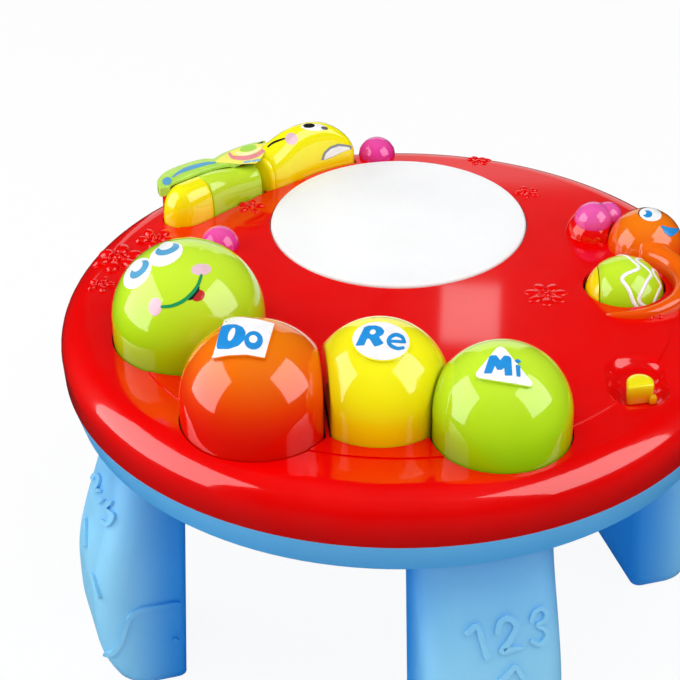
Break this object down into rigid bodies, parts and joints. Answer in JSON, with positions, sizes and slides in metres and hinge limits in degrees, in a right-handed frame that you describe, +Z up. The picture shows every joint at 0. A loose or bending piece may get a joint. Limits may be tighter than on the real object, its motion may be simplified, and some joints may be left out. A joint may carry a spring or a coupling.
{
  "type": "musical activity table",
  "caption": "Round toddler's activity table on plug-in legs, with domed press keys, a drum pad, a butterfly and snail with keys and a roller, and a slide switch.",
  "frame": {"origin": "on the floor, under the centre of the round table top", "axes": "+Z up; -Y towards the side with the three big keys; +X towards the snail"},
  "size_m": [0.3, 0.3, 0.2094],
  "materials": {
    "red_shell": "glossy red moulded plastic",
    "blue_shell": "satin light blue moulded plastic",
    "blue_leg": "satin light blue moulded plastic",
    "drum_white": "frosted white plastic that light shows through",
    "orange_cap": "glossy orange plastic",
    "yellow_cap": "glossy yellow plastic",
    "green_cap": "glossy lime green plastic",
    "pink_ball": "glossy pink plastic",
    "wing_print": "printed plastic plate",
    "roller_green": "glossy lime green plastic with white bands",
    "roller_yellow": "glossy yellow plastic",
    "switch_case": "grey moulded plastic",
    "inner_plastic": "dark unpolished plastic",
    "circuit_board": "green coated circuit board",
    "switch_rubber": "dark silicone rubber",
    "lamp_lens": "cast lamp lens",
    "speaker_metal": "black pressed steel",
    "battery_can": "wrapped cell",
    "steel": "plated steel"
  },
  "bodies": {
    "table": {"top_shell": "red_shell", "base_shell": "blue_shell", "leg_front": "blue_leg", "leg_right": "blue_leg", "leg_back": "blue_leg", "leg_left": "blue_leg", "shell_screws": "steel", "drum_springs": "steel", "drum_frame": "inner_plastic", "frame_screws": "steel", "spring_do": "steel", "spring_re": "steel", "spring_mi": "steel", "spring_head": "steel", "key_frame": "inner_plastic", "key_board": "circuit_board", "contact_pads": "switch_rubber", "worm_feelers": "pink_ball", "spring_butterfly_tail": "steel", "spring_butterfly_body": "steel", "spring_butterfly_head": "steel", "butterfly_frame": "inner_plastic", "butterfly_board": "circuit_board", "butterfly_wing": "wing_print", "butterfly_feeler": "pink_ball", "snail_body": "orange_cap", "roller_axle": "steel", "roller_bracket": "inner_plastic", "snail_feelers": "pink_ball", "slide_switch": "switch_case", "main_board": "circuit_board", "led_lamps": "lamp_lens", "speaker": "speaker_metal", "speaker_ring": "inner_plastic", "batteries": "battery_can", "battery_contacts": "steel", "battery_door": "blue_shell", "door_screw": "steel"},
    "key_do": {"key_do": "orange_cap"},
    "key_re": {"key_re": "yellow_cap"},
    "key_mi": {"key_mi": "green_cap"},
    "worm_head": {"worm_head": "green_cap"},
    "drum_pad": {"drum_pad": "drum_white"},
    "butterfly_tail": {"butterfly_tail": "yellow_cap"},
    "butterfly_body": {"butterfly_body": "green_cap"},
    "butterfly_head": {"butterfly_head": "yellow_cap"},
    "roller": {"snail_roller": "roller_green", "roller_cap": "roller_yellow"},
    "switch_knob": {"switch_knob": "yellow_cap"}
  },
  "joints": [
    {"name": "do_press", "type": "slide", "parent": "table", "child": "key_do", "axis": [0, 0, -1], "range_m": [0, 0.003], "stiffness_N_per_m": 250, "springref_m": -0.003, "deforming": ["spring_do"]},
    {"name": "re_press", "type": "slide", "parent": "table", "child": "key_re", "axis": [0, 0, -1], "range_m": [0, 0.003], "stiffness_N_per_m": 250, "springref_m": -0.003, "deforming": ["spring_re"]},
    {"name": "mi_press", "type": "slide", "parent": "table", "child": "key_mi", "axis": [0, 0, -1], "range_m": [0, 0.003], "stiffness_N_per_m": 250, "springref_m": -0.003, "deforming": ["spring_mi"]},
    {"name": "head_press", "type": "slide", "parent": "table", "child": "worm_head", "axis": [0, 0, -1], "range_m": [0, 0.003], "stiffness_N_per_m": 250, "springref_m": -0.003, "deforming": ["spring_head"]},
    {"name": "drum_press", "type": "slide", "parent": "table", "child": "drum_pad", "axis": [0, 0, -1], "range_m": [0, 0.002], "stiffness_N_per_m": 600, "springref_m": -0.002, "deforming": ["drum_springs"]},
    {"name": "tail_press", "type": "slide", "parent": "table", "child": "butterfly_tail", "axis": [0, 0, -1], "range_m": [0, 0.003], "stiffness_N_per_m": 200, "springref_m": -0.002, "deforming": ["spring_butterfly_tail"]},
    {"name": "body_press", "type": "slide", "parent": "table", "child": "butterfly_body", "axis": [0, 0, -1], "range_m": [0, 0.003], "stiffness_N_per_m": 200, "springref_m": -0.002, "deforming": ["spring_butterfly_body"]},
    {"name": "bfly_head_press", "type": "slide", "parent": "table", "child": "butterfly_head", "axis": [0, 0, -1], "range_m": [0, 0.003], "stiffness_N_per_m": 200, "springref_m": -0.002, "deforming": ["spring_butterfly_head"]},
    {"name": "roller_spin", "type": "hinge", "parent": "table", "child": "roller", "pos_m": [0.1013, 0.012, 0.1617], "axis": [1, 0, 0], "continuous": true},
    {"name": "switch_slide", "type": "slide", "parent": "table", "child": "switch_knob", "axis": [0, 1, 0], "range_m": [0, 0.014]}
  ]
}
